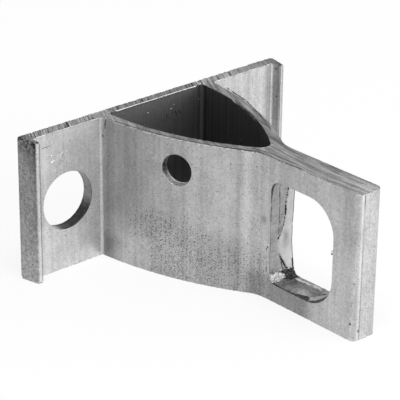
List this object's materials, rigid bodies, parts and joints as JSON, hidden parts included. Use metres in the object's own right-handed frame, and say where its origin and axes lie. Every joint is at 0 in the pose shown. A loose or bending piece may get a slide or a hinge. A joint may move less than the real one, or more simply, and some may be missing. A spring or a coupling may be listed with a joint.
{
  "type": "pole anchor bracket",
  "caption": "Anchor bracket sawn from an extruded aluminium section: flat pole plate with lips, bowed hollow webs and a lug with a punched window for a clamp's bail.",
  "frame": {"origin": "on the pole face, midway between the centres of the two bolt holes", "axes": "+Y is the outward normal of the pole face, so the lug points along -Y; +X runs along the pole plate through both bolt holes; +Z runs along the extrusion, from one sawn face to the other"},
  "size_m": [0.101, 0.093, 0.045],
  "materials": {
    "mill_aluminium": "raw mill finish with drawn lines along the extrusion, sawn ends with burrs, punched and drilled openings"
  },
  "bodies": {
    "root": {"bracket_body": "mill_aluminium"}
  },
  "joints": []
}
